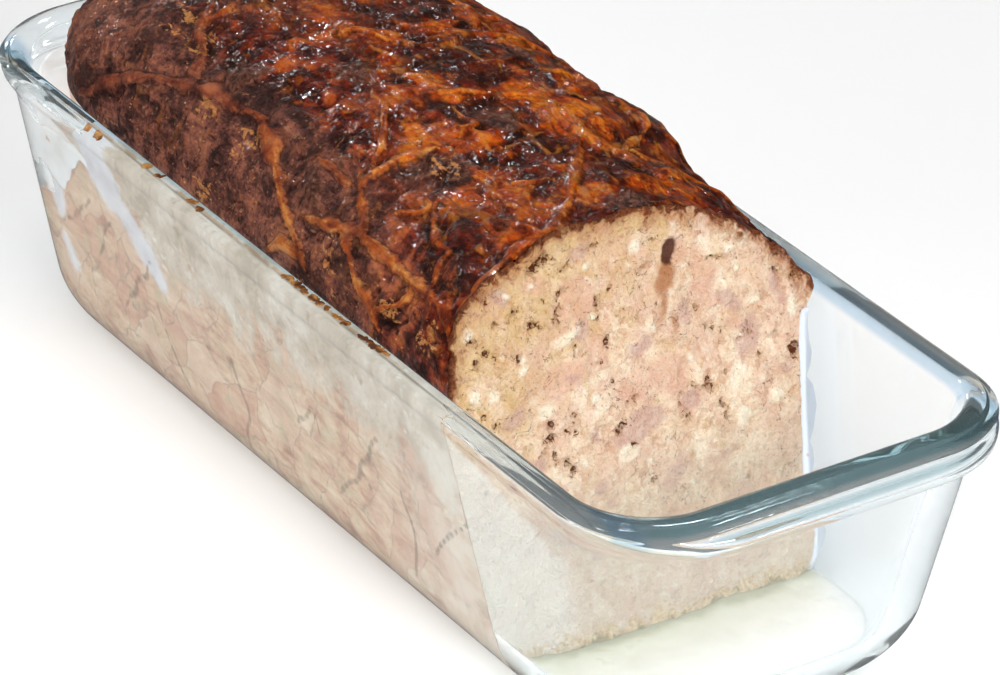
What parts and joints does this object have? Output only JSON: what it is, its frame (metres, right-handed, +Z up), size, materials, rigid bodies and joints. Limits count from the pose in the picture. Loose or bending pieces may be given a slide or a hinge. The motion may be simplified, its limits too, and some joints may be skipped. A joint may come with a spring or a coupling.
{
  "type": "country terrine in a glass loaf dish",
  "caption": "Domed baked meat terrine with a lacy browned crust, cut open at one end, in the oblong clear glass loaf dish that it was baked in.",
  "frame": {"origin": "centre of the dish's outline, on the surface that it stands on", "axes": "+X along the dish, towards the empty end that the cut faces; +Y across the dish; +Z up"},
  "size_m": [0.296, 0.111, 0.1017],
  "materials": {
    "clear_glass": "clear polished ovenproof glass, faint blue-green in thick edges",
    "baked_meat": "glossy mottled brown crust over pinkish-beige ground meat with pits and pale pieces of fat",
    "white_fat": "soft milky white set fat, slightly waxy"
  },
  "bodies": {
    "root": {"dish": "clear_glass", "terrine": "baked_meat", "set_fat": "white_fat", "floor_fat": "white_fat"}
  },
  "joints": []
}
